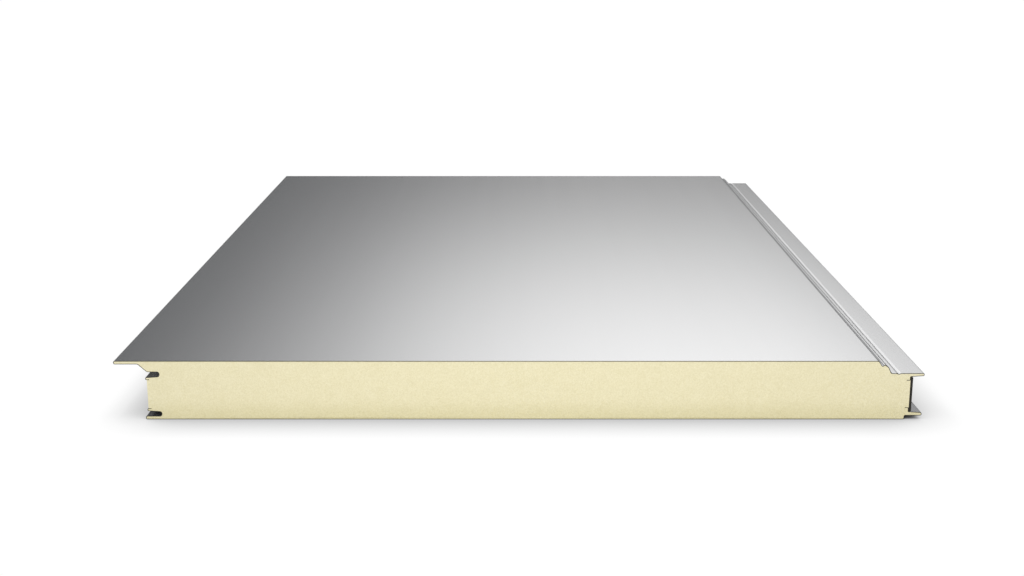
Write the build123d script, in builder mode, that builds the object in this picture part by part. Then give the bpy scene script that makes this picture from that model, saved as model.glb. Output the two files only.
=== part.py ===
"""Insulated wall panel: two roll-formed steel sheets bonded to a rigid foam core.

The panel lies with its outer face up. X runs across its width, Y along its length and Z
up. The origin is the middle of its underside. The female edge is on the left (-X) and
the male edge on the right (+X), so the nose and tongue of one panel enter the grooves
of the next one, which starts one cover width further on.

Positions across the panel are counted from the tip of the outer lip, and heights from
the underside. Both sheets are drawn as the line of their outside surface, from the
female hem to the male hem, and thickened towards the foam.
"""

import os

from build123d import *

# Overall sizes
cover_width = 1000.0
panel_thickness = 80.0
panel_length = 1460.0
outer_gauge = 0.75
inner_gauge = 0.6

# Outer lip, which covers the fixing ledge of the panel before it
lip_reach = 31.4
lip_depth = 4.6
lip_round = 2.1
slope_run = 11.8
slope_top_bend = 3.0
slope_foot_bend = 2.0

# Outer groove, measured down from the outer face
outer_groove_end = 58.7
outer_groove_roof_drop = 15.2
outer_groove_floor_drop = 22.4
outer_curl_start = 40.5

# Inner groove, measured up from the underside
inner_lip_start = 38.4
inner_lip_depth = 4.7
inner_lip_round = 1.9
inner_groove_end = 59.3
inner_groove_roof_rise = 11.5
inner_curl_start = 41.1

# What both grooves share
groove_taper = 1.2
curl_height = 3.5
curl_round = 1.5
hem_length = 5.0
core_edge = 42.5

# Beaded step from the outer face down to the fixing ledge
face_gap = 2.4
face_bend = 3.6
valley_run = 4.8
valley_drop = 7.3
valley_bend = 1.0
bead_run = 3.3
bead_rise = 2.3
bead_bend = 1.6
shoulder_run = 5.4
shoulder_drop = 4.0
shoulder_bend = 2.3
foot_run = 3.4
foot_bend = 2.2

# V mark along the fixing ledge, where the screws go
mark_offset = 9.8
mark_width = 5.2
mark_depth = 1.1
mark_bend = 1.5

# Clearances between the male edge and the next panel's female edge
nose_end_clearance = 0.8
nose_roof_clearance = 1.5
nose_floor_clearance = 0.8
tongue_end_clearance = 1.7
tongue_roof_clearance = 0.7
tongue_floor_clearance = 0.5
inner_gap = 3.7

# Returns at the roots of the nose and the tongue, and the step under the tongue
outer_return = 5.0
inner_return = 5.6
root_bend = 0.8
return_bend = 0.9
inner_step_run = 0.6
inner_step_bend = 1.3

# Seal strip on the male edge
seal_thickness = 3.5
seal_squeeze = 1.0
seal_end_clearance = 0.3
seal_round = 1.2

# A nose or groove end is rounded to nearly half its height
ROUND_SHARE = 0.46

# Heights
face = panel_thickness
lip_underside = face - lip_depth
outer_groove_roof = face - outer_groove_roof_drop
outer_groove_floor = face - outer_groove_floor_drop
outer_hem = outer_groove_floor - curl_height
inner_groove_floor = inner_lip_depth
inner_groove_roof = inner_groove_roof_rise
inner_hem = inner_groove_roof + curl_height

ledge = outer_groove_roof - nose_roof_clearance
nose_floor = outer_groove_floor + nose_floor_clearance
tongue_roof = inner_groove_roof - tongue_roof_clearance
tongue_floor = inner_groove_floor + tongue_floor_clearance

# Positions across the female edge
outer_hem_end = outer_curl_start + hem_length
inner_hem_end = inner_curl_start + hem_length

# Positions across the male edge
face_end = cover_width - face_gap
nose_end = cover_width + outer_groove_end - nose_end_clearance
tongue_end = cover_width + inner_groove_end - tongue_end_clearance
return_face = cover_width + core_edge + seal_squeeze - seal_thickness
underside_end = cover_width + inner_lip_start - inner_gap

valley = face_end + valley_run
bead = valley + bead_run
shoulder = bead + shoulder_run
ledge_start = shoulder + foot_run
mark = ledge_start + mark_offset

# Sections are drawn at the far cut end, seen from the near one, and extruded towards -Y
section_plane = Plane(
    origin=(-nose_end / 2, panel_length / 2, 0),
    x_dir=(1, 0, 0),
    z_dir=(0, -1, 0),
)


def round_end(low, high):
    """The radius that nearly makes a half circle between two heights."""
    return ROUND_SHARE * (high - low)


def female_outer_corners():
    """Outside line of the outer sheet from its hem to the outer face: x, height, bend."""
    end_floor = outer_groove_floor + groove_taper
    end_round = round_end(end_floor, outer_groove_roof)
    return [
        (outer_curl_start, outer_hem, curl_round),
        (outer_curl_start, outer_groove_floor, curl_round),
        (outer_groove_end, end_floor, end_round),
        (outer_groove_end, outer_groove_roof, end_round),
        (lip_reach + slope_run, outer_groove_roof, slope_foot_bend),
        (lip_reach, lip_underside, slope_top_bend),
        (0, lip_underside, lip_round),
        (0, face, lip_round),
    ]


def male_outer_corners():
    """Outside line of the outer sheet from the outer face to the root of the nose."""
    valley_height = face - valley_drop
    bead_height = valley_height + bead_rise
    end_floor = nose_floor + groove_taper
    end_round = round_end(end_floor, ledge)
    return [
        (face_end, face, face_bend),
        (valley, valley_height, valley_bend),
        (bead, bead_height, bead_bend),
        (shoulder, bead_height - shoulder_drop, shoulder_bend),
        (ledge_start, ledge, foot_bend),
        (mark - mark_width / 2, ledge, mark_bend),
        (mark, ledge - mark_depth, mark_bend),
        (mark + mark_width / 2, ledge, mark_bend),
        (nose_end, ledge, end_round),
        (nose_end, end_floor, end_round),
        (return_face, nose_floor, root_bend),
    ]


def female_inner_corners():
    """Outside line of the inner sheet from its hem to the underside: x, height, bend."""
    end_roof = inner_groove_roof - groove_taper
    end_round = round_end(inner_groove_floor, end_roof)
    return [
        (inner_curl_start, inner_hem, curl_round),
        (inner_curl_start, inner_groove_roof, curl_round),
        (inner_groove_end, end_roof, end_round),
        (inner_groove_end, inner_groove_floor, end_round),
        (inner_lip_start, inner_groove_floor, inner_lip_round),
        (inner_lip_start, 0, inner_lip_round),
    ]


def male_inner_corners():
    """Outside line of the inner sheet from the underside to the root of the tongue."""
    end_roof = tongue_roof - groove_taper
    end_round = round_end(tongue_floor, end_roof)
    return [
        (underside_end, 0, inner_step_bend),
        (underside_end + inner_step_run, tongue_floor, inner_step_bend),
        (tongue_end, tongue_floor, end_round),
        (tongue_end, end_roof, end_round),
        (return_face, tongue_roof, root_bend),
    ]


def sheet_section(first, corners, last, gauge, side):
    """The cut face of a sheet, from its outside line, its gauge and the foam's side."""
    points = [first] + [(x, height) for x, height, bend in corners] + [last]
    bends = [bend for x, height, bend in corners]
    with BuildSketch() as section:
        with BuildLine():
            FilletPolyline(*points, radius=bends)
            offset(amount=gauge, side=side)
        make_face()
    return section.sketch


def outer_section():
    """The outer sheet's cut face."""
    return_end = nose_floor - outer_return
    hems = [(return_face, return_end, return_bend)]
    return sheet_section(
        (outer_hem_end, outer_hem),
        female_outer_corners() + male_outer_corners() + hems,
        (return_face - hem_length, return_end),
        outer_gauge,
        Side.RIGHT,
    )


def inner_section():
    """The inner sheet's cut face."""
    return_end = tongue_roof + inner_return
    hems = [(return_face, return_end, return_bend)]
    return sheet_section(
        (inner_hem_end, inner_hem),
        female_inner_corners() + male_inner_corners() + hems,
        (return_face - hem_length, return_end),
        inner_gauge,
        Side.LEFT,
    )


outer_cut = outer_section()
inner_cut = inner_section()

# Outer facing: one strip of coated steel, open only at the two cut ends
with BuildPart() as outer_sheet:
    with BuildSketch(section_plane):
        add(outer_cut)
    extrude(amount=panel_length)

# Inner facing: the same, in thinner steel
with BuildPart() as inner_sheet:
    with BuildSketch(section_plane):
        add(inner_cut)
    extrude(amount=panel_length)

# Foam core: fills all between the sheets, round the buried hems too
with BuildPart() as foam_core:
    upper = [(outer_hem_end, outer_hem, 0)] + female_outer_corners() + male_outer_corners()
    lower = [(inner_hem_end, inner_hem, 0)] + female_inner_corners() + male_inner_corners()
    outline = upper + lower[::-1]
    with BuildSketch(section_plane):
        with BuildLine():
            FilletPolyline(
                *[(x, height) for x, height, bend in outline],
                radius=[bend for x, height, bend in outline],
                close=True,
            )
        make_face()
        with Locations((core_edge, inner_hem)):
            Rectangle(
                outer_groove_end - core_edge,
                outer_hem - inner_hem,
                align=(Align.MIN, Align.MIN),
            )
        add(outer_cut, mode=Mode.SUBTRACT)
        add(inner_cut, mode=Mode.SUBTRACT)
    extrude(amount=panel_length)

# Seal strip: a soft flat strip on the male edge, from the tongue up to the nose
with BuildPart() as joint_seal:
    seal_bottom = tongue_roof + seal_end_clearance
    seal_top = nose_floor - seal_end_clearance
    with BuildSketch(section_plane):
        with Locations((return_face + seal_thickness / 2, (seal_bottom + seal_top) / 2)):
            RectangleRounded(seal_thickness, seal_top - seal_bottom, seal_round)
    extrude(amount=panel_length)

outer_sheet.part.label = "outer_sheet"
inner_sheet.part.label = "inner_sheet"
foam_core.part.label = "foam_core"
joint_seal.part.label = "joint_seal"

os.makedirs("parts", exist_ok=True)
export_step(outer_sheet.part, "parts/outer_sheet.step")
export_step(inner_sheet.part, "parts/inner_sheet.step")
export_step(foam_core.part, "parts/foam_core.step")
export_step(joint_seal.part, "parts/joint_seal.step")
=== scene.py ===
"""Insulated sandwich panel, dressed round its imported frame.

The panel lies with its outer face up. X runs across it, Y along it and Z up, in metres,
and the origin is the middle of its underside. Each piece is a section in the X-Z plane
that is carried along Y: two roll-formed sheets, the foam between them and a seal strip.

A section is a line of corners, each with a bend radius. Travelling along a sheet's line,
its painted side is on the left and the foam on the right.
"""

import math

import bpy
import numpy as np
from bpy.props import FloatProperty, FloatVectorProperty, IntProperty, PointerProperty
from mathutils.geometry import delaunay_2d_cdt
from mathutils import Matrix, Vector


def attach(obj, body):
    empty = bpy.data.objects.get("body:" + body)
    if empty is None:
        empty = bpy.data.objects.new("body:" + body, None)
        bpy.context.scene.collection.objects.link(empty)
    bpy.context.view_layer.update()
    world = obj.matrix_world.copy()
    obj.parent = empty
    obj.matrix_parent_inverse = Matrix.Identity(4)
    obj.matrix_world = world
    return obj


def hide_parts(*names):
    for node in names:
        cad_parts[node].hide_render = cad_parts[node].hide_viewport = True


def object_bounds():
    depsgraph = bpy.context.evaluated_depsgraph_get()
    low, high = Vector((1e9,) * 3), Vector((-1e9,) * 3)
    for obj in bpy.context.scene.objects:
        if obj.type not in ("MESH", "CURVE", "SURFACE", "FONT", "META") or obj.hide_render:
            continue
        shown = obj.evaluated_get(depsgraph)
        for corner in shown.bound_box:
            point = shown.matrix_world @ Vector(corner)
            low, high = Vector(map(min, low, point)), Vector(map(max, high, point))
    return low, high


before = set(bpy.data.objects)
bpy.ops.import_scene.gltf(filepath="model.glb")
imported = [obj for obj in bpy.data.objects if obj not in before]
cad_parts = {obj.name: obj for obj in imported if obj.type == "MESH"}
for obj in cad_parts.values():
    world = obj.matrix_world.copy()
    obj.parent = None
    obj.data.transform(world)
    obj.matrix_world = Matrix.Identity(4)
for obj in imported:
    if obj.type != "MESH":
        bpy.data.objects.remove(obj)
CAD_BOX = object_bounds()

bl_info = {
    "name": "Insulated sandwich panel",
    "version": (1, 0, 0),
    "blender": (4, 5, 0),
    "location": "3D View > Sidebar > Panel",
    "description": "Builds a roll-formed steel and foam wall panel "
    "with tongue and groove edges",
    "category": "Add Mesh",
}

MM = 0.001
TINY = 1e-9
CAD_SIZE = CAD_BOX[1] - CAD_BOX[0]

# Corners of the sheets' painted lines, in millimetres: x, distance from the face that the
# sheet makes, bend radius. Female corners are counted from the tip of the outer lip, male
# ones from the tip of the next panel's lip, one cover width further on.
OUTER_FEMALE = (
    (45.5, 25.9, 0),
    (40.5, 25.9, 1.5),
    (40.5, 22.4, 1.5),
    (58.7, 21.2, 2.76),
    (58.7, 15.2, 2.76),
    (43.2, 15.2, 2.0),
    (31.4, 4.6, 3.0),
    (0, 4.6, 2.1),
    (0, 0, 2.1),
)
OUTER_MALE = (
    (-2.4, 0, 3.6),
    (2.4, 7.3, 1.0),
    (5.7, 5.0, 1.6),
    (11.1, 9.0, 2.3),
    (14.5, 16.7, 2.2),
    (21.7, 16.7, 1.5),
    (24.3, 17.8, 1.5),
    (26.9, 16.7, 1.5),
    (57.9, 16.7, 1.702),
    (57.9, 20.4, 1.702),
    (40.0, 21.6, 0.8),
    (40.0, 26.6, 0.9),
    (35.0, 26.6, 0),
)
INNER_MALE = (
    (35.0, 16.4, 0),
    (40.0, 16.4, 0.9),
    (40.0, 10.8, 0.8),
    (57.6, 9.6, 2.024),
    (57.6, 5.2, 2.024),
    (35.3, 5.2, 1.3),
    (34.7, 0, 1.3),
)
INNER_FEMALE = (
    (38.4, 0, 1.9),
    (38.4, 4.7, 1.9),
    (59.3, 4.7, 2.576),
    (59.3, 10.3, 2.576),
    (41.1, 11.5, 1.5),
    (41.1, 15.0, 1.5),
    (46.1, 15.0, 0),
)

# Left edge of the foam, and the seal strip on the male edge, in millimetres
CORE_EDGE = 42.5
SEAL_X = (40.0, 43.5)
SEAL_BELOW_FACE = 21.9
SEAL_ABOVE_UNDERSIDE = 11.1
SEAL_ROUND = 1.2
NOSE_REACH = 57.9

# Rows of points along the seal strip, and its waves: turns of each sine, in radians to a
# metre, along the panel and up the strip, and where it starts
SEAL_ROWS = 220
SEAL_WAVES = ((61, 40, 0), (143, -95, 1))
SEAL_SHARP = math.radians(50)

# The sawn foam: how far its grid and its inset points keep from the outline, in mesh
# spacings, how far its relief takes to fade there, the saw's waves, and each end's seed
GRID_GAP = 1 / 3
INSET = 1 / 5
RELIEF_FADE = 2 * MM
SAW_WAVES = np.geomspace(5 * MM, 60 * MM, 28)
SAW_SEEDS = ((-1, 11), (1, 12))
FOAM_SHARP = math.radians(40)


class PanelShape(bpy.types.PropertyGroup):
    """Sizes of the panel"""

    cover_width: FloatProperty(
        name="Cover width",
        description="Distance from one panel's outer lip to the next panel's",
        default=CAD_SIZE.x - NOSE_REACH * MM,
        min=0.3,
        max=1.5,
        unit="LENGTH",
    )
    thickness: FloatProperty(
        name="Thickness",
        description="Height from the inner face to the outer face",
        default=CAD_SIZE.z,
        min=0.06,
        max=0.3,
        unit="LENGTH",
    )
    length: FloatProperty(
        name="Length",
        description="Length of the panel between its two cut ends",
        default=CAD_SIZE.y,
        min=0.1,
        max=15,
        unit="LENGTH",
    )
    outer_gauge: FloatProperty(
        name="Outer gauge",
        description="Thickness of the outer sheet",
        default=0.75 * MM,
        min=0.3 * MM,
        max=1.0 * MM,
        precision=4,
        unit="LENGTH",
    )
    inner_gauge: FloatProperty(
        name="Inner gauge",
        description="Thickness of the inner sheet",
        default=0.6 * MM,
        min=0.3 * MM,
        max=0.8 * MM,
        precision=4,
        unit="LENGTH",
    )
    bend_steps: IntProperty(
        name="Bend steps",
        description="Number of flats in each roll-formed bend",
        default=10,
        min=2,
        max=32,
    )
    edge_break: FloatProperty(
        name="Edge break",
        description="Width of the tiny bevel that the saw leaves on the sheets' cut ends",
        default=0.08 * MM,
        min=0,
        max=0.2 * MM,
        precision=5,
        unit="LENGTH",
    )
    foam_spacing: FloatProperty(
        name="Foam mesh spacing",
        description="Distance between the points of the sawn foam faces",
        default=2.2 * MM,
        min=1 * MM,
        max=20 * MM,
        precision=4,
        unit="LENGTH",
    )
    foam_relief: FloatProperty(
        name="Foam relief",
        description="Depth of the uneven surface that the saw leaves on the foam",
        default=0.3 * MM,
        min=0,
        max=1 * MM,
        precision=5,
        unit="LENGTH",
    )
    seal_wave: FloatProperty(
        name="Seal waviness",
        description="How much the soft seal strip varies in thickness along the panel",
        default=0.25 * MM,
        min=0,
        max=0.6 * MM,
        precision=5,
        unit="LENGTH",
    )


class PanelFinish(bpy.types.PropertyGroup):
    """Colours and surfaces of the panel"""

    outer_coat: FloatVectorProperty(
        name="Outer coat",
        description="Colour of the metallic coil coat on the outer sheet",
        default=(0.6, 0.6, 0.603),
        min=0,
        max=1,
        subtype="COLOR",
    )
    inner_coat: FloatVectorProperty(
        name="Inner coat",
        description="Colour of the coil coat on the inner sheet",
        default=(0.228, 0.228, 0.232),
        min=0,
        max=1,
        subtype="COLOR",
    )
    coat_roughness: FloatProperty(
        name="Coat roughness",
        description="Roughness of the outer sheet's coil coat",
        default=0.17,
        min=0.05,
        max=1,
        subtype="FACTOR",
    )
    coat_metal: FloatProperty(
        name="Coat metal",
        description="How metallic the outer sheet's coil coat is",
        default=0.95,
        min=0,
        max=1,
        subtype="FACTOR",
    )
    back_roughness: FloatProperty(
        name="Inner coat roughness",
        description="Roughness of the inner sheet's coil coat",
        default=0.3,
        min=0.05,
        max=1,
        subtype="FACTOR",
    )
    back_metal: FloatProperty(
        name="Inner coat metal",
        description="How metallic the inner sheet's coil coat is",
        default=0.78,
        min=0,
        max=1,
        subtype="FACTOR",
    )
    raw_edge: FloatVectorProperty(
        name="Cut steel",
        description="Colour of the sheets' cut edges",
        default=(0.012, 0.012, 0.010),
        min=0,
        max=1,
        subtype="COLOR",
    )
    foam_light: FloatVectorProperty(
        name="Foam cell walls",
        description="Lighter colour of the sawn foam",
        default=(0.845, 0.79, 0.565),
        min=0,
        max=1,
        subtype="COLOR",
    )
    foam_dark: FloatVectorProperty(
        name="Foam cells",
        description="Darker colour of the sawn foam, in its open cells",
        default=(0.665, 0.60, 0.36),
        min=0,
        max=1,
        subtype="COLOR",
    )
    # Painted shade: the foam's colour is multiplied by this tint towards the underside, for
    # the floor's shade on the lower foam
    low_shade_tint: FloatVectorProperty(
        name="Low painted shade",
        description="What the foam's colour is multiplied by against the inner sheet",
        default=(0.905, 0.9, 0.845),
        min=0,
        max=1,
        subtype="COLOR",
    )
    # Painted shade: the height up to which the foam is tinted darker
    low_shade_height: FloatProperty(
        name="Low painted shade height",
        description="Height up to which the foam is darker by painted shade",
        default=0.034,
        min=0,
        max=0.2,
        unit="LENGTH",
    )
    # Glue line colour, also used for the painted contact shade along the bottom edge where
    # the line is widened
    foam_skin: FloatVectorProperty(
        name="Foam skin",
        description="Colour of the glue line and dense foam against the sheets",
        default=(0.06, 0.055, 0.045),
        min=0,
        max=1,
        subtype="COLOR",
    )
    skin_width: FloatProperty(
        name="Foam skin width",
        description="Distance from the outer sheet within which the foam turns dark",
        default=0.15 * MM,
        min=0.01 * MM,
        max=3 * MM,
        precision=5,
        unit="LENGTH",
    )
    # Glue line plus painted contact shade: against the inner sheet the dark line is wider,
    # standing in for the shade along the bottom edge
    low_skin_and_shade_width: FloatProperty(
        name="Lower foam skin width",
        description="The same, at the inner sheet, widened by painted contact shade",
        default=0.5 * MM,
        min=0.01 * MM,
        max=3 * MM,
        precision=5,
        unit="LENGTH",
    )
    foam_cell: FloatProperty(
        name="Foam cell size",
        description="Size of the foam's open cells",
        default=1.1 * MM,
        min=0.2 * MM,
        max=5 * MM,
        precision=5,
        unit="LENGTH",
    )
    seal_colour: FloatVectorProperty(
        name="Seal",
        description="Colour of the seal strip",
        default=(0.018, 0.016, 0.011),
        min=0,
        max=1,
        subtype="COLOR",
    )


class PanelStage(bpy.types.PropertyGroup):
    """Studio round the panel"""

    studio_level: FloatProperty(
        name="Studio level",
        description="Strength of the even light from all round",
        default=0.9,
        min=0,
        max=2,
    )
    front_lamp: FloatProperty(
        name="Front lamp",
        description="Power of the large soft lamp in front of the panel",
        default=3.3,
        min=0,
        max=1000,
        unit="POWER",
    )
    floor_white: FloatProperty(
        name="Floor white",
        description="How white the lit floor looks to the camera",
        default=1.01,
        min=0.5,
        max=1.5,
    )
    shadow_reach: FloatProperty(
        name="Shadow reach",
        description="How far from the panel its soft shadow is seen on the floor",
        default=0.08,
        min=0,
        max=2,
        unit="LENGTH",
    )
    card_tone: FloatProperty(
        name="Floor card",
        description="How bright the floor close to the panel looks in its metal",
        default=0.12,
        min=0,
        max=1,
    )
    floor_tone: FloatProperty(
        name="Floor tone",
        description="How much light the floor gives back to the panel",
        default=0.85,
        min=0,
        max=1,
    )


# Sections


def placed(corners, reach, face, towards):
    """Corners in metres: x moved by reach, height = face + towards * distance from it."""
    table = np.array(corners, float) * MM
    table[:, 0] += reach
    table[:, 1] = face + towards * table[:, 1]
    return table


def bent_line(corners, steps):
    """Points along a line with a round bend at each corner, and normals to its left.

    A bend of radius r where the line turns by an angle a starts r * tan(a / 2) before the
    corner. Its centre is r to the side that it turns to, and point j of it is reached by
    turning the normal by a * j / steps. The first and last corners stay sharp ends.
    """
    spine = corners[:, :2]
    way = np.diff(spine, axis=0)
    way /= np.linalg.norm(way, axis=1, keepdims=True)
    before, after = way[:-1], way[1:]
    turn = np.arctan2(
        before[:, 0] * after[:, 1] - before[:, 1] * after[:, 0],
        (before * after).sum(axis=1),
    )
    radius = corners[1:-1, 2]
    left = np.stack([-before[:, 1], before[:, 0]], axis=1)
    signed = (np.sign(turn) * radius)[:, None]
    start = spine[1:-1] - before * (radius * np.tan(np.abs(turn) / 2))[:, None]
    centre = start + left * signed
    angle = turn[:, None] * np.linspace(0, 1, steps + 1)
    cosine, sine = np.cos(angle), np.sin(angle)
    normal = np.stack(
        [
            left[:, :1] * cosine - left[:, 1:] * sine,
            left[:, :1] * sine + left[:, 1:] * cosine,
        ],
        axis=2,
    )
    points = centre[:, None] - normal * signed[:, None]
    ends = np.stack([-way[[0, -1], 1], way[[0, -1], 0]], axis=1)
    return (
        np.vstack([spine[:1], points.reshape(-1, 2), spine[-1:]]),
        np.vstack([ends[:1], normal.reshape(-1, 2), ends[1:]]),
    )


def outer_line(shape):
    """Painted line of the outer sheet, from the female hem to the male one."""
    reach = -CAD_SIZE.x / 2
    female = placed(OUTER_FEMALE, reach, shape.thickness, -1)
    male = placed(OUTER_MALE, reach + shape.cover_width, shape.thickness, -1)
    return bent_line(np.vstack([female, male]), shape.bend_steps)


def inner_line(shape):
    """Painted line of the inner sheet, from the male hem to the female one."""
    reach = -CAD_SIZE.x / 2
    male = placed(INNER_MALE, reach + shape.cover_width, 0, 1)
    female = placed(INNER_FEMALE, reach, 0, 1)
    return bent_line(np.vstack([male, female]), shape.bend_steps)


def between(start, end, step):
    """Even places on the straight line between two points, about a step apart."""
    count = max(1, round(np.linalg.norm(end - start) / step))
    return np.linspace(start, end, count + 1)[1:-1]


def foam_ring(shape):
    """Outline of the foam, and which of its edges lie against steel.

    A sheet's foam side is its painted line moved by the gauge against its normal. At the
    male edge the outline comes back round each hem to the bend, and runs straight between
    the two; at the female edge it runs straight up the core's edge. Those two runs are
    bare foam.
    """
    outer, outer_normal = outer_line(shape)
    inner, inner_normal = inner_line(shape)
    back = shape.bend_steps + 2
    core = -CAD_SIZE.x / 2 + CORE_EDGE * MM
    above = np.vstack([outer - outer_normal * shape.outer_gauge, outer[::-1][:back]])
    below = np.vstack(
        [
            inner[:back][::-1],
            inner - inner_normal * shape.inner_gauge,
            inner[-1:],
            [(core, inner[-1, 1])],
        ]
    )
    start = np.array([(core, outer[0, 1]), outer[0]])
    behind_seal = between(above[-1], below[0], shape.foam_spacing)
    core_edge = between(below[-1], start[0], shape.foam_spacing)
    ring = np.vstack([above, behind_seal, below, core_edge, start])
    bare = len(behind_seal) + 1, len(core_edge) + 1
    lengths = len(above) - 1, bare[0], len(below) - 1, bare[1], len(start)
    return ring, np.repeat([True, False, True, False, True], lengths)


# Meshes


def band_faces(rows, around):
    """Quads of a closed ring of points that is repeated in rows, row after row."""
    row = np.arange(rows - 1)[:, None] * around
    start = np.arange(around)
    end = (start + 1) % around
    corners = [row + start, row + end, row + around + end, row + around + start]
    return np.stack(corners, axis=2).reshape(-1, 4)


def end_faces(rows, around):
    """Quads that close both ends of a ring whose point i faces point around - 1 - i."""
    near = np.arange(around // 2 - 1)
    far = around - 1 - near
    first = np.stack([near, far, far - 1, near + 1], axis=1)
    last = (rows - 1) * around + first[:, ::-1]
    return first, last


def raised(section, heights):
    """Points of a section in the X-Z plane at one or more places along Y."""
    heights = np.broadcast_to(np.asarray(heights, float), section.shape[:-1])
    return np.stack([section[..., 0], heights, section[..., 1]], axis=-1)


def new_piece(name, points, faces, materials, face_material, cad_node):
    """A mesh object from arrays, that rides on the panel in place of a CAD node."""
    mesh = bpy.data.meshes.new(name)
    mesh.from_pydata(points.reshape(-1, 3).tolist(), [], faces)
    for material in materials:
        mesh.materials.append(material)
    mesh.polygons.foreach_set("material_index", np.asarray(face_material, np.int32))
    mesh.polygons.foreach_set("use_smooth", np.ones(len(faces), bool))
    mesh.update()
    piece = bpy.data.objects.new(name, mesh)
    bpy.context.scene.collection.objects.link(piece)
    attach(piece, "root")
    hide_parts(cad_node)
    return piece


def sheet_piece(name, line, gauge, shape, materials, cad_node):
    """A roll-formed sheet: its line and the line one gauge below it, carried along Y.

    The ring is the painted line followed by the foam side's, backwards. Rows stand at the
    two cut ends and one edge break in from them, and the end rows are drawn in by that
    break. Each corner of each face gets the exact normal of the bend it stands on, turned
    by 45 degrees towards the end on the break, so that flats stay flat beside the bends.
    """
    painted, normal = line
    ring = np.vstack([painted, (painted - normal * gauge)[::-1]])
    ring_normal = np.vstack([normal, -normal[::-1]])
    around = len(ring)
    half = shape.length / 2
    rows_y = np.array([-half, -half + shape.edge_break, half - shape.edge_break, half])
    drawn_in = np.array([1, 0, 0, 1]) * shape.edge_break
    section = ring - ring_normal * drawn_in[:, None, None]
    points = raised(section, rows_y[:, None])
    sides = band_faces(len(rows_y), around)
    first, last = end_faces(len(rows_y), around)

    start = ring_normal.copy()
    end = np.roll(ring_normal, -1, axis=0)
    hem_ends = [len(painted) - 1, around - 1]
    outwards = (normal[-1, 1], -normal[-1, 0]), (-normal[0, 1], normal[0, 0])
    for hem, outward in zip(hem_ends, outwards):
        start[hem] = end[hem] = outward
    lean = np.array([-1, 0, 1])[:, None, None]
    corners = np.stack([start, end, end, start], axis=1)
    side_normals = raised(np.broadcast_to(corners, (3,) + corners.shape), lean)
    side_normals /= np.linalg.norm(side_normals, axis=-1, keepdims=True)
    end_normals = np.zeros((2, first.size, 3))
    end_normals[:, :, 1] = [[-1], [1]]
    loop_normals = np.vstack([side_normals.reshape(-1, 3), end_normals.reshape(-1, 3)])

    raw = np.ones((3, around), int)
    raw[1] = 0
    raw[1, hem_ends] = 1
    faces = np.vstack([sides, first, last])
    face_material = np.concatenate([raw.ravel(), np.ones(len(first) + len(last), int)])
    piece = new_piece(
        name, points, faces.tolist(), materials, face_material, cad_node
    )
    piece.data.normals_split_custom_set(loop_normals)
    return piece


def distance_from(points, begin, finish):
    """Distance of each point from the nearest of some straight edges.

    The nearest place on an edge is its start plus the share of it that the point lies
    along it, kept from 0 to 1.
    """
    edge = finish - begin
    gap = points[:, None] - begin
    share = np.clip((gap * edge).sum(2) / np.maximum((edge**2).sum(1), TINY**2), 0, 1)
    return np.linalg.norm(gap - share[..., None] * edge, axis=2).min(axis=1)


def inside_of(points, begin, finish):
    """Whether closed edges go round each point.

    They do if a line from it to the right crosses them an odd number of times.
    """
    edge = finish - begin
    height = points[:, 1:2]
    spans = (begin[:, 1] > height) != (finish[:, 1] > height)
    rise = np.where(edge[:, 1] == 0, 1, edge[:, 1])
    crossing = begin[:, 0] + (height - begin[:, 1]) / rise * edge[:, 0]
    return (spans & (points[:, :1] < crossing)).sum(axis=1) % 2 == 1


def inset_points(begin, finish, inset, step):
    """Places an inset away from each edge, on its right, and about a step apart.

    An edge has one for each step of its length, and at least one, in the middle of that
    part of it. Only those stay that are no nearer than nine tenths of the inset to any
    edge, and a quarter of it apart, on a grid of that spacing.
    """
    edge = finish - begin
    length = np.linalg.norm(edge, axis=1)
    parts = np.where(length > 0, np.maximum(1, np.round(length / step)), 0).astype(int)
    which = np.repeat(np.arange(len(edge)), parts)
    place = np.concatenate([(np.arange(count) + 0.5) / count for count in parts if count])
    right = np.stack([edge[which, 1], -edge[which, 0]], axis=1) / length[which, None]
    places = begin[which] + edge[which] * place[:, None] + right * inset
    places = np.unique(np.round(places / (inset / 4)), axis=0) * (inset / 4)
    return places[distance_from(places, begin, finish) > 0.9 * inset]


def saw_relief(points, seed):
    """Uneven depth from 0 to 1 over the sawn foam.

    It is the sum of plane waves of random heading and phase, with lengths from 5 to 60 mm
    and heights in proportion to their length's square root, brought to between 0 and 1.
    """
    draw = np.random.default_rng(seed)
    heading = draw.uniform(0, 2 * math.pi, SAW_WAVES.size)
    phase = draw.uniform(0, 2 * math.pi, SAW_WAVES.size)
    along = points[:, :1] * np.cos(heading) + points[:, 1:] * np.sin(heading)
    waves = np.sin(2 * math.pi * along / SAW_WAVES + phase) * np.sqrt(SAW_WAVES)
    total = waves.sum(axis=1)
    return (total - total.min()) / np.ptp(total)


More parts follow.
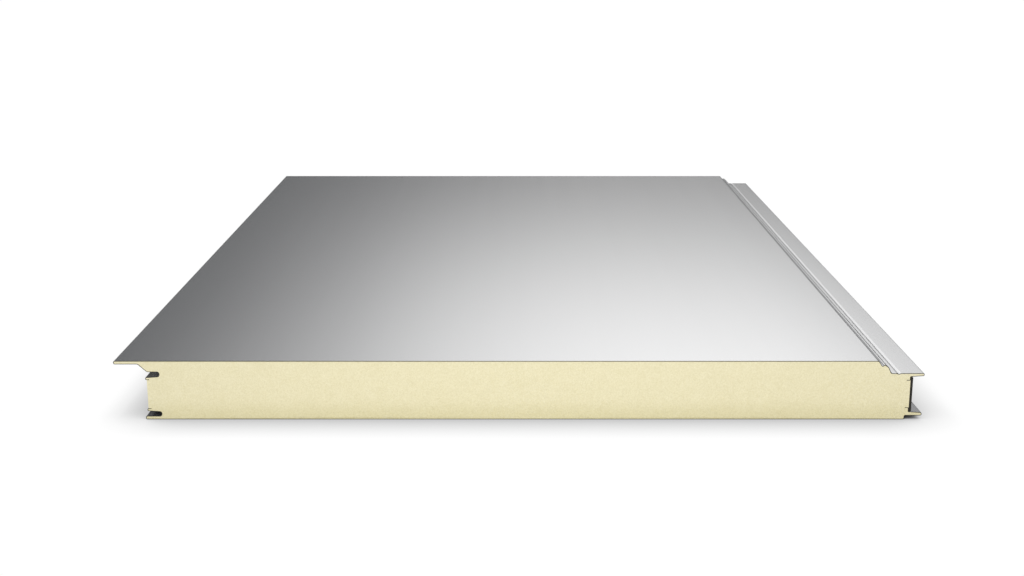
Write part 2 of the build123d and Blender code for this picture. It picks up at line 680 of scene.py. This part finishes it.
def foam_piece(name, shape, materials, cad_node):
    """The foam: its outline carried along Y, and two sawn faces filled with points.

    Each sawn face is a triangulation of the outline, of places a little inside it and of a
    staggered grid further in. A grid point lies relief * saw_relief inside the cut, fading
    to none at the outline. The distance of each point from the steel is kept on the mesh
    for the foam's material.
    """
    ring, against_steel = foam_ring(shape)
    onward = np.roll(ring, -1, axis=0)
    around = len(ring)
    step = shape.foam_spacing
    low, high = ring.min(axis=0), ring.max(axis=0)
    columns, levels = np.meshgrid(
        np.arange(low[0], high[0], step),
        np.arange(low[1], high[1], step * math.sqrt(0.75)),
    )
    columns[::2] += step / 2
    grid = np.stack([columns.ravel(), levels.ravel()], axis=1)
    grid = grid[distance_from(grid, ring, onward) > step * GRID_GAP]
    grid = np.vstack([grid, inset_points(ring, onward, step * INSET, step)])
    grid = grid[inside_of(grid, ring, onward)]
    distance = distance_from(grid, ring, onward)
    section = np.vstack([ring, grid])
    start = np.arange(around)
    after = (start + 1) % around
    edges = np.stack([start, after], axis=1)
    filled = delaunay_2d_cdt(section.tolist(), edges.tolist(), [], 1, TINY, False)
    triangles = np.array(filled[2])
    if len(filled[0]) != len(section):
        raise RuntimeError("the foam's outline crosses itself")
    triangles = triangles[inside_of(section[triangles].mean(axis=1), ring, onward)]
    first, second, third = section[triangles].transpose(1, 0, 2)
    (ax, ay), (bx, by) = (second - first).T, (third - first).T
    backwards = ax * by < ay * bx
    triangles[backwards] = triangles[backwards][:, ::-1]

    half = shape.length / 2
    fade = np.clip(distance / RELIEF_FADE, 0, 1)
    ends = []
    for side, seed in SAW_SEEDS:
        depth = np.zeros(len(section))
        depth[around:] = shape.foam_relief * fade * saw_relief(grid, seed)
        ends.append(raised(section, side * (half - depth)))
    points = np.vstack(ends)
    count = len(section)
    sides = np.stack([start, after, count + after, count + start], axis=1)
    faces = sides.tolist() + triangles.tolist() + (triangles[:, ::-1] + count).tolist()
    face_material = np.zeros(len(faces), int)
    face_material[:around] = 1
    piece = new_piece(name, points, faces, materials, face_material, cad_node)
    piece.data.set_sharp_from_angle(angle=FOAM_SHARP)
    from_steel = distance_from(section, ring[against_steel], onward[against_steel])
    layer = piece.data.attributes.new("from_steel", "FLOAT", "POINT")
    layer.data.foreach_set("value", np.tile(from_steel, 2).astype(np.float32))
    return piece


def seal_piece(name, shape, materials, cad_node):
    """The seal strip: a rounded rectangle carried along Y, a little uneven in thickness.

    Its free side is drawn in by wave * (1 + sum of two sines of y and height) / 4, and its
    glued side stays flat.
    """
    reach = -CAD_SIZE.x / 2 + shape.cover_width
    near, far = (reach + x * MM for x in SEAL_X)
    top = shape.thickness - SEAL_BELOW_FACE * MM
    bottom = SEAL_ABOVE_UNDERSIDE * MM
    middle = (near + far) / 2
    bend = SEAL_ROUND * MM
    corners = np.array(
        [
            (middle, top, 0),
            (far, top, bend),
            (far, bottom, bend),
            (near, bottom, bend),
            (near, top, bend),
            (middle, top, 0),
        ]
    )
    ring, _ = bent_line(corners, shape.bend_steps)
    ring = np.vstack([ring[:-1], (ring[:1] + ring[-2:-1]) / 2])
    along = np.linspace(-shape.length / 2, shape.length / 2, SEAL_ROWS)[:, None]
    free = np.clip((ring[:, 0] - middle) / (far - middle), 0, 1)
    ripple = sum(
        np.sin(along * onward + ring[:, 1] * upward + phase)
        for onward, upward, phase in SEAL_WAVES
    )
    section = np.broadcast_to(ring, (len(along),) + ring.shape).copy()
    section[..., 0] -= shape.seal_wave * free * (2 + ripple) / 4
    points = raised(section, along)
    around = len(ring)
    sides = band_faces(len(along), around)
    first, last = end_faces(len(along), around)
    faces = np.vstack([sides, first, last])
    piece = new_piece(
        name, points, faces.tolist(), materials, np.zeros(len(faces), int), cad_node
    )
    piece.data.set_sharp_from_angle(angle=SEAL_SHARP)
    return piece


# Materials


# Sizes of the grains, in metres along X, Y and Z, and the depths of their bumps
STREAKS = (0.006, 0.9, 0.006)
FLAKES = (0.0007, 0.0007, 0.0007)
PEEL = (0.0035, 0.0035, 0.0035)
PEEL_DEPTH = 0.000002
SCORES = (0.0004, 0.0004, 0.004)
SCORE_DEPTH = 0.00003
SAWN_CLOUDS = (0.018, 0.018, 0.018)
SAWN_DEPTH = 0.00012
CAST_CLOUDS = (0.02, 0.06, 0.02)
CAST_POWDER = (0.0015, 0.0015, 0.0015)
CAST_DEPTH = 0.00005
PITS = (0.0006, 0.0006, 0.0006)
PIT_DEPTH = 0.00008
DUST = (0.01, 0.03, 0.01)

# Detail of a plain grain and of a cloudy one
PLAIN = 1.0
CLOUDY = 3.0

# How much the coil coat's streaks change its tone and its roughness, and its flakes too
STREAK_TONE = 0.01
STREAK_ROUGHNESS = 0.003
FLAKE_SHARE = 0.06
FLAKE_TONE = 0.8
FLAKE_ROUGHNESS = 0.02

# Shares of the open cells, the powder and the clouds in the sawn foam's darker colour
HOLLOW_SHARE = 0.34
POWDER_SHARE = 0.45
CLOUD_SHARE = 0.10

# Roughness of the other finishes: its middle, and how far a grain takes it either side
RAW_ROUGHNESS = (0.55, 0.1)
SAWN_ROUGHNESS = (0.93, 0.04)
CAST_ROUGHNESS = (0.7, 0.1)
SEAL_ROUGHNESS = (0.82, 0.06)


def node(tree, kind, inputs=None, **settings):
    """A node with its settings, its plain values and its links in one call."""
    made = tree.nodes.new(kind)
    for key, value in settings.items():
        setattr(made, key, value)
    for key, value in (inputs or {}).items():
        if isinstance(value, bpy.types.NodeSocket):
            tree.links.new(value, made.inputs[key])
        else:
            made.inputs[key].default_value = value
    return made


def math_node(tree, operation, first, second):
    """The result of a sum of two values or sockets."""
    made = node(tree, "ShaderNodeMath", {0: first, 1: second}, operation=operation)
    return made.outputs[0]


def map_range(tree, value, start=0.0, end=1.0, new_start=0.0, new_end=1.0, **settings):
    """A value brought from one range to another in proportion, and kept inside it."""
    inputs = {
        "Value": value,
        "From Min": start,
        "From Max": end,
        "To Min": new_start,
        "To Max": new_end,
    }
    return node(tree, "ShaderNodeMapRange", inputs, **settings).outputs[0]


def grain_group():
    """Soft noise from 0 to 1 whose spots have a given size along each axis."""
    tree = bpy.data.node_groups.new("surface_grain", "ShaderNodeTree")
    face = tree.interface
    face.new_socket("Position", in_out="INPUT", socket_type="NodeSocketVector")
    face.new_socket("Size", in_out="INPUT", socket_type="NodeSocketVector")
    face.new_socket("Detail", in_out="INPUT", socket_type="NodeSocketFloat")
    face.new_socket("Grain", in_out="OUTPUT", socket_type="NodeSocketFloat")
    given = node(tree, "NodeGroupInput")
    scaled = node(
        tree,
        "ShaderNodeVectorMath",
        {0: given.outputs["Position"], 1: given.outputs["Size"]},
        operation="DIVIDE",
    )
    noise = node(
        tree,
        "ShaderNodeTexNoise",
        {"Vector": scaled.outputs[0], "Scale": 1.0, "Detail": given.outputs["Detail"]},
    )
    spread = map_range(tree, noise.outputs[0], 0.25, 0.75)
    node(tree, "NodeGroupOutput", {"Grain": spread})
    return tree


def grain(tree, group, position, size, detail=2.0):
    """The surface grain group placed in a material."""
    inputs = {"Position": position, "Size": size, "Detail": detail}
    return node(tree, "ShaderNodeGroup", inputs, node_tree=group).outputs["Grain"]


def mixed(tree, factor, first, second):
    """A colour between two, by a factor."""
    mix = node(tree, "ShaderNodeMix", data_type="RGBA")
    sockets = mix.inputs[0], mix.inputs[6], mix.inputs[7]
    for socket, value in zip(sockets, (factor, first, second)):
        if isinstance(value, bpy.types.NodeSocket):
            tree.links.new(value, socket)
        elif isinstance(value, float):
            socket.default_value = value
        else:
            socket.default_value = (*value, 1)
    return mix.outputs[2]


def tinted(tree, factor, colour, tint):
    """A colour multiplied by a tint, by a factor."""
    inputs = {0: factor, 6: colour, 7: (*tint, 1)}
    mix = node(tree, "ShaderNodeMix", inputs, data_type="RGBA", blend_type="MULTIPLY")
    return mix.outputs[2]


def around_value(tree, grain_socket, middle, spread):
    """A value that varies by a spread either side of a middle with a grain from 0 to 1."""
    return map_range(
        tree, grain_socket, new_start=middle - spread, new_end=middle + spread
    )


def bump(tree, height, distance):
    """A bump normal whose height of 1 is a distance in metres."""
    inputs = {"Height": height, "Distance": distance, "Strength": 1.0}
    return node(tree, "ShaderNodeBump", inputs).outputs["Normal"]


def new_material(name):
    """A material's node tree, its Principled shader and its Object coordinates."""
    material = bpy.data.materials.new(name)
    material.use_nodes = True
    tree = material.node_tree
    shader = tree.nodes["Principled BSDF"]
    position = node(tree, "ShaderNodeTexCoord").outputs["Object"]
    return material, tree, shader, position


def brightened(colour, factor):
    """A colour times a factor."""
    return tuple(min(1.0, part * factor) for part in colour)


def coil_coat(name, colour, roughness, metal, group):
    """Coil coat with metal in it: flakes, a slight orange peel and faint roll streaks."""
    material, tree, shader, position = new_material(name)
    streaks = grain(tree, group, position, STREAKS)
    flakes = grain(tree, group, position, FLAKES, PLAIN)
    peel = grain(tree, group, position, PEEL, PLAIN)
    duller = brightened(colour, 1 - STREAK_TONE)
    tone = mixed(tree, streaks, duller, brightened(colour, 1 + STREAK_TONE))
    share = around_value(tree, flakes, FLAKE_SHARE, FLAKE_SHARE)
    tone = mixed(tree, share, tone, brightened(colour, FLAKE_TONE))
    rough = around_value(tree, streaks, roughness, STREAK_ROUGHNESS)
    rough = math_node(tree, "ADD", rough, around_value(tree, flakes, 0, FLAKE_ROUGHNESS))
    tree.links.new(tone, shader.inputs["Base Color"])
    tree.links.new(rough, shader.inputs["Roughness"])
    shader.inputs["Metallic"].default_value = metal
    tree.links.new(bump(tree, peel, PEEL_DEPTH), shader.inputs["Normal"])
    return material


def raw_steel(name, colour, group):
    """Sheared steel edge: dark, with fine scores across the sheet."""
    material, tree, shader, position = new_material(name)
    scores = grain(tree, group, position, SCORES)
    tone = mixed(tree, scores, brightened(colour, 0.7), brightened(colour, 1.4))
    tree.links.new(tone, shader.inputs["Base Color"])
    tree.links.new(around_value(tree, scores, *RAW_ROUGHNESS), shader.inputs["Roughness"])
    shader.inputs["Metallic"].default_value = 0.25
    tree.links.new(bump(tree, scores, SCORE_DEPTH), shader.inputs["Normal"])
    return material


def sawn_foam(name, finish, group):
    """Sawn rigid foam: open cells, a powdery grain and soft clouds of density.

    It darkens by smooth steps towards the underside, a painted shade where the floor's
    shade falls, and turns into the glue line within a width of the steel that grows in the
    same way, so that the wider dark line along the bottom is glue line and painted shade.
    """
    material, tree, shader, position = new_material(name)
    cell = finish.foam_cell
    cells = node(tree, "ShaderNodeTexVoronoi", {"Vector": position, "Scale": 1 / cell})
    hollow = map_range(tree, cells.outputs["Distance"], 0.1, 0.7, 1, 0)
    powder = grain(tree, group, position, (cell * 1.8,) * 3, CLOUDY)
    clouds = grain(tree, group, position, SAWN_CLOUDS, CLOUDY)
    depth = math_node(tree, "MULTIPLY", hollow, HOLLOW_SHARE)
    for part, share in ((powder, POWDER_SHARE), (clouds, CLOUD_SHARE)):
        depth = math_node(tree, "ADD", depth, math_node(tree, "MULTIPLY", part, share))
    tone = mixed(tree, depth, tuple(finish.foam_light), tuple(finish.foam_dark))
    level = node(tree, "ShaderNodeSeparateXYZ", {"Vector": position}).outputs["Z"]
    # Painted shade: a mask from 1 at the underside to 0 at that height, which darkens the
    # foam and widens its glue line
    low = map_range(
        tree, level, 0, finish.low_shade_height, 1, 0, interpolation_type="SMOOTHERSTEP"
    )
    tone = tinted(tree, low, tone, finish.low_shade_tint)
    gap = node(tree, "ShaderNodeAttribute", attribute_name="from_steel").outputs["Fac"]
    gap = math_node(tree, "MULTIPLY", gap, around_value(tree, powder, 1.0, 0.3))
    # The glue line widens towards the underside: glue line and painted contact shade along
    # the bottom edge
    width = map_range(
        tree, low, new_start=finish.skin_width, new_end=finish.low_skin_and_shade_width
    )
    skin = map_range(tree, gap, 0, width, 1, 0)
    tone = mixed(tree, skin, tone, tuple(finish.foam_skin))
    tree.links.new(tone, shader.inputs["Base Color"])
    tree.links.new(around_value(tree, powder, *SAWN_ROUGHNESS), shader.inputs["Roughness"])
    shader.inputs["Specular IOR Level"].default_value = 0.2
    height = math_node(tree, "SUBTRACT", powder, hollow)
    tree.links.new(bump(tree, height, SAWN_DEPTH), shader.inputs["Normal"])
    return material


def cast_foam(name, finish, group):
    """Foam that set against a mould: a closed, smoother and slightly darker skin."""
    material, tree, shader, position = new_material(name)
    clouds = grain(tree, group, position, CAST_CLOUDS, CLOUDY)
    powder = grain(tree, group, position, CAST_POWDER)
    light = brightened(finish.foam_light, 0.93)
    cloudy = around_value(tree, clouds, 0.4, 0.3)
    tone = mixed(tree, cloudy, light, tuple(finish.foam_dark))
    tree.links.new(tone, shader.inputs["Base Color"])
    tree.links.new(around_value(tree, clouds, *CAST_ROUGHNESS), shader.inputs["Roughness"])
    shader.inputs["Specular IOR Level"].default_value = 0.3
    tree.links.new(bump(tree, powder, CAST_DEPTH), shader.inputs["Normal"])
    return material


def seal_rubber(name, colour, group):
    """Soft foamed rubber: near black, matt and finely pitted."""
    material, tree, shader, position = new_material(name)
    pits = grain(tree, group, position, PITS)
    dust = grain(tree, group, position, DUST, CLOUDY)
    dusty = around_value(tree, dust, 0.3, 0.3)
    tone = mixed(tree, dusty, tuple(colour), brightened(colour, 2.2))
    tree.links.new(tone, shader.inputs["Base Color"])
    tree.links.new(around_value(tree, dust, *SEAL_ROUGHNESS), shader.inputs["Roughness"])
    tree.links.new(bump(tree, pits, PIT_DEPTH), shader.inputs["Normal"])
    return material


def material_once(name, maker, *arguments):
    """The named material, made by its maker the first time that a piece asks for it."""
    return bpy.data.materials.get(name) or maker(name, *arguments)


def grain_once():
    """The shared grain group, made the first time that a material asks for it."""
    return bpy.data.node_groups.get("surface_grain") or grain_group()


# Operators


class INSULATED_PANEL_OT_outer_sheet(bpy.types.Operator):
    """Add the outer sheet with its lip, groove, beaded step, fixing ledge and nose"""

    bl_idname = "insulated_panel.outer_sheet"
    bl_label = "Outer Sheet"

    def execute(self, context):
        shape, finish = context.scene.panel_shape, context.scene.panel_finish
        group = grain_once()
        coat = material_once(
            "outer_coil_coat",
            coil_coat,
            finish.outer_coat,
            finish.coat_roughness,
            finish.coat_metal,
            group,
        )
        raw = material_once("cut_steel", raw_steel, finish.raw_edge, group)
        sheet_piece(
            "outer_skin",
            outer_line(shape),
            shape.outer_gauge,
            shape,
            (coat, raw),
            "outer_sheet",
        )
        return {"FINISHED"}


class INSULATED_PANEL_OT_inner_sheet(bpy.types.Operator):
    """Add the inner sheet with its groove and its tongue"""

    bl_idname = "insulated_panel.inner_sheet"
    bl_label = "Inner Sheet"

    def execute(self, context):
        shape, finish = context.scene.panel_shape, context.scene.panel_finish
        group = grain_once()
        coat = material_once(
            "inner_coil_coat",
            coil_coat,
            finish.inner_coat,
            finish.back_roughness,
            finish.back_metal,
            group,
        )
        raw = material_once("cut_steel", raw_steel, finish.raw_edge, group)
        sheet_piece(
            "inner_skin",
            inner_line(shape),
            shape.inner_gauge,
            shape,
            (coat, raw),
            "inner_sheet",
        )
        return {"FINISHED"}


class INSULATED_PANEL_OT_foam_core(bpy.types.Operator):
    """Add the foam core with its two sawn faces"""

    bl_idname = "insulated_panel.foam_core"
    bl_label = "Foam Core"

    def execute(self, context):
        shape, finish = context.scene.panel_shape, context.scene.panel_finish
        group = grain_once()
        sawn = material_once("sawn_foam", sawn_foam, finish, group)
        cast = material_once("cast_foam", cast_foam, finish, group)
        foam_piece("foam_body", shape, (sawn, cast), "foam_core")
        return {"FINISHED"}


class INSULATED_PANEL_OT_joint_seal(bpy.types.Operator):
    """Add the soft seal strip between the nose and the tongue"""

    bl_idname = "insulated_panel.joint_seal"
    bl_label = "Joint Seal"

    def execute(self, context):
        shape, finish = context.scene.panel_shape, context.scene.panel_finish
        rubber = material_once("seal_rubber", seal_rubber, finish.seal_colour, grain_once())
        seal_piece("seal_strip", shape, (rubber,), "joint_seal")
        return {"FINISHED"}


class INSULATED_PANEL_OT_studio_stage(bpy.types.Operator):
    """Add the floor, the studio light and the camera"""

    bl_idname = "insulated_panel.studio_stage"
    bl_label = "Studio Stage"

    def execute(self, context):
        stage = context.scene.panel_stage
        add_floor(stage)
        add_studio(stage)
        add_front_lamp(stage)
        add_camera()
        context.scene.view_settings.view_transform = "Standard"
        return {"FINISHED"}


# Stage


# The camera's place, tilt in degrees, lens and sensor, at the photograph's perspective
CAMERA_PLACE = (-0.00945, -2.5035, 0.61885)
CAMERA_TILT = 76.038
CAMERA_LENS = 50
CAMERA_SENSOR = 36
# The front lamp's width and height, place, and tilt in degrees
LAMP_SIZE = (0.9, 0.6)
LAMP_PLACE = (0.01, -1.52, 0.68)
LAMP_TILT = 52
# Half the floor's width, and the rays that look for its shadow
FLOOR_HALF = 40.0
SHADOW_RAYS = 24
# Distances from the panel's middle between which the floor card turns to white, in metres
CARD = (1.6, 3.0)
# Brightness of the floor by the share of the sky that it sees
FLOOR_SHADE = ((0.0, 0.0), (0.1, 0.06), (0.3, 0.32), (0.5, 0.56), (0.75, 0.8), (1.0, 1.0))


def add_floor(stage):
    """A wide level floor: pale to the light, white to the camera, and in metal too.

    The white follows the share of the sky that the floor sees from there, within the
    shadow's reach, so the panel's soft shadow stays on it. Metal sees that white from
    the far side of the floor card on, and the card's own dark tone round the panel.
    """
    half = FLOOR_HALF
    mesh = bpy.data.meshes.new("studio_floor")
    mesh.from_pydata(
        [(-half, -half, 0), (half, -half, 0), (half, half, 0), (-half, half, 0)],
        [],
        [(0, 1, 2, 3)],
    )
    floor = bpy.data.objects.new("studio_floor", mesh)
    bpy.context.scene.collection.objects.link(floor)
    material = bpy.data.materials.new("studio_floor")
    material.use_nodes = True
    tree = material.node_tree
    tree.nodes.remove(tree.nodes["Principled BSDF"])
    path = node(tree, "ShaderNodeLightPath")
    glossy = path.outputs["Is Glossy Ray"]
    seen = math_node(tree, "MAXIMUM", path.outputs["Is Camera Ray"], glossy)
    seen = math_node(tree, "MAXIMUM", seen, path.outputs["Is Transmission Ray"])
    place = node(tree, "ShaderNodeTexCoord").outputs["Object"]
    away = node(tree, "ShaderNodeVectorMath", {0: place}, operation="LENGTH")
    card = map_range(tree, away.outputs["Value"], *CARD, stage.card_tone)
    card = node(tree, "ShaderNodeMix", {0: glossy, 2: 1.0, 3: card}).outputs[0]
    reach = {"Distance": stage.shadow_reach}
    sky = node(tree, "ShaderNodeAmbientOcclusion", reach, samples=SHADOW_RAYS)
    level = curve_node(tree, FLOOR_SHADE, sky.outputs["AO"])
    level = math_node(tree, "MULTIPLY", level, stage.floor_white)
    level = math_node(tree, "MULTIPLY", level, card)
    white = node(tree, "ShaderNodeEmission", {"Strength": level})
    matt = node(tree, "ShaderNodeBsdfDiffuse", {"Color": (*(stage.floor_tone,) * 3, 1)})
    shaders = {0: seen, 1: matt.outputs[0], 2: white.outputs[0]}
    both = node(tree, "ShaderNodeMixShader", shaders).outputs[0]
    tree.links.new(both, tree.nodes["Material Output"].inputs["Surface"])
    mesh.materials.append(material)


# Brightness that metal sees round the panel's length axis, from the left horizon at 0
# over the top at 0.5 to the right horizon at 1: 0 is the dark wall, 1 the soft lamp.
STUDIO_ROUND = (
    (0.0, 0.7),
    (0.1, 0.5),
    (0.16, 0.15),
    (0.21, 0.0),
    (0.262, 0.0),
    (0.289, 0.09),
    (0.33, 0.25),
    (0.377, 0.445),
    (0.43, 0.67),
    (0.488, 0.835),
    (0.547, 0.945),
    (0.603, 1.0),
    (0.653, 1.015),
    (0.696, 0.97),
    (0.722, 0.89),
    (0.73, 0.815),
    (0.741, 0.61),
    (0.76, 0.53),
    (0.85, 0.47),
    (1.0, 0.58),
)
# Brightness of the soft lamp by the sine of the height above the horizon
STUDIO_UP = (
    (0.0, 0.06),
    (0.1, 0.10),
    (0.167, 0.27),
    (0.213, 0.8),
    (0.254, 1.17),
    (0.284, 1.395),
    (0.33, 1.47),
    (0.38, 1.5),
    (0.43, 1.92),
    (1.0, 1.2),
)
DARK_WALL = (0.140, 0.144, 0.150)
# Close to the horizon, below the second of these sines of the height and most of all
# below the first, the wall is dimmer by a share and the lamp has an outline of its own
LOW = (0.15, 0.2)
LOW_DIM = 0.36
LOW_ROUND = (
    (0.0, 0.7),
    (0.16, 0.1),
    (0.21, 0.0),
    (0.285, 0.0),
    (0.33, 0.06),
    (0.377, 0.15),
    (0.43, 0.26),
    (0.488, 0.5),
    (0.547, 0.75),
    (0.603, 0.97),
    (0.653, 1.02),
    (0.733, 1.02),
    (0.746, 0.93),
    (0.76, 0.74),
    (0.85, 0.5),
    (1.0, 0.55),
)


def curve_node(tree, points, value):
    """A float curve through points, whose heights are halved to stay under 1."""
    made = node(tree, "ShaderNodeFloatCurve", {"Value": value})
    curve = made.mapping.curves[0]
    while len(curve.points) < len(points):
        curve.points.new(0.5, 0.5)
    for point, (x, y) in zip(curve.points, points):
        point.location = (x, y / 2)
        point.handle_type = "AUTO_CLAMPED"
    made.mapping.update()
    return math_node(tree, "MULTIPLY", made.outputs[0], 2.0)


def add_studio(stage):
    """Light from all round: even for matt surfaces, a dark wall and a soft lamp for metal.

    For a direction (x, y, z) the soft lamp's share depends on atan2(x, z), its place round
    the panel's length axis, and its brightness on z. Low down, where z is small, the share
    turns into that of a second curve.
    """
    world = bpy.data.worlds.new("studio")
    bpy.context.scene.world = world
    world.use_nodes = True
    world.cycles.sampling_method = "NONE"
    tree = world.node_tree
    direction = node(tree, "ShaderNodeTexCoord").outputs["Generated"]
    parts = node(tree, "ShaderNodeSeparateXYZ", {"Vector": direction})
    turn = math_node(tree, "ARCTAN2", parts.outputs["X"], parts.outputs["Z"])
    place = map_range(tree, turn, -math.pi / 2, math.pi / 2)
    low = map_range(tree, parts.outputs["Z"], *LOW, 1, 0)
    upper, lower = (curve_node(tree, points, place) for points in (STUDIO_ROUND, LOW_ROUND))
    share = node(tree, "ShaderNodeMix", {0: low, 2: upper, 3: lower}).outputs[0]
    bright = curve_node(tree, STUDIO_UP, parts.outputs["Z"])
    lamp = node(tree, "ShaderNodeCombineXYZ", {"X": bright, "Y": bright, "Z": bright})
    dim = math_node(tree, "SUBTRACT", 1.0, math_node(tree, "MULTIPLY", low, LOW_DIM))
    tone = {0: DARK_WALL, "Scale": dim}
    wall = node(tree, "ShaderNodeVectorMath", tone, operation="SCALE")
    metal_sees = mixed(tree, share, wall.outputs[0], lamp.outputs[0])
    path = node(tree, "ShaderNodeLightPath")
    even = mixed(tree, path.outputs["Is Glossy Ray"], (stage.studio_level,) * 3, metal_sees)
    straight = math_node(
        tree, "MAXIMUM", path.outputs["Is Camera Ray"], path.outputs["Is Transmission Ray"]
    )
    shown = mixed(tree, straight, even, (1.0, 1.0, 1.0))
    tree.links.new(shown, tree.nodes["Background"].inputs["Color"])


def add_front_lamp(stage):
    """A large soft lamp in front of the panel and above the camera."""
    lamp = bpy.data.lights.new("front_lamp", "AREA")
    lamp.shape = "RECTANGLE"
    lamp.size, lamp.size_y = LAMP_SIZE
    lamp.energy = stage.front_lamp
    made = bpy.data.objects.new("front_lamp", lamp)
    made.location = LAMP_PLACE
    made.rotation_euler = (math.radians(LAMP_TILT), 0, 0)
    made.visible_glossy = False
    made.visible_camera = False
    bpy.context.scene.collection.objects.link(made)


def add_camera():
    """The camera, at the photograph's viewing angle."""
    camera = bpy.data.cameras.new("camera")
    camera.lens = CAMERA_LENS
    camera.sensor_width = CAMERA_SENSOR
    made = bpy.data.objects.new("camera", camera)
    made.location = CAMERA_PLACE
    made.rotation_euler = (math.radians(CAMERA_TILT), 0, 0)
    bpy.context.scene.collection.objects.link(made)
    bpy.context.scene.camera = made


class INSULATED_PANEL_PT_sidebar(bpy.types.Panel):
    """Sidebar panel with the pieces, their sizes and their finishes"""

    bl_idname = "INSULATED_PANEL_PT_sidebar"
    bl_label = "Insulated Sandwich Panel"
    bl_space_type = "VIEW_3D"
    bl_region_type = "UI"
    bl_category = "Panel"

    def draw(self, context):
        layout = self.layout
        for group, title in (
            (context.scene.panel_shape, "Sizes"),
            (context.scene.panel_finish, "Finishes"),
            (context.scene.panel_stage, "Studio"),
        ):
            box = layout.box()
            box.label(text=title)
            for key in group.bl_rna.properties.keys():
                if key not in ("rna_type", "name"):
                    box.prop(group, key)
        for operator in PIECES:
            layout.operator(operator.bl_idname)


PIECES = (
    INSULATED_PANEL_OT_outer_sheet,
    INSULATED_PANEL_OT_inner_sheet,
    INSULATED_PANEL_OT_foam_core,
    INSULATED_PANEL_OT_joint_seal,
    INSULATED_PANEL_OT_studio_stage,
)
GROUPS = (PanelShape, PanelFinish, PanelStage)


def register():
    for made in GROUPS + PIECES + (INSULATED_PANEL_PT_sidebar,):
        bpy.utils.register_class(made)
    bpy.types.Scene.panel_shape = PointerProperty(type=PanelShape)
    bpy.types.Scene.panel_finish = PointerProperty(type=PanelFinish)
    bpy.types.Scene.panel_stage = PointerProperty(type=PanelStage)


def unregister():
    del bpy.types.Scene.panel_stage
    del bpy.types.Scene.panel_finish
    del bpy.types.Scene.panel_shape
    for made in reversed(GROUPS + PIECES + (INSULATED_PANEL_PT_sidebar,)):
        bpy.utils.unregister_class(made)


def main():
    register()
    bpy.ops.insulated_panel.outer_sheet()
    bpy.ops.insulated_panel.inner_sheet()
    bpy.ops.insulated_panel.foam_core()
    bpy.ops.insulated_panel.joint_seal()
    bpy.ops.insulated_panel.studio_stage()


if __name__ == "__main__":
    main()
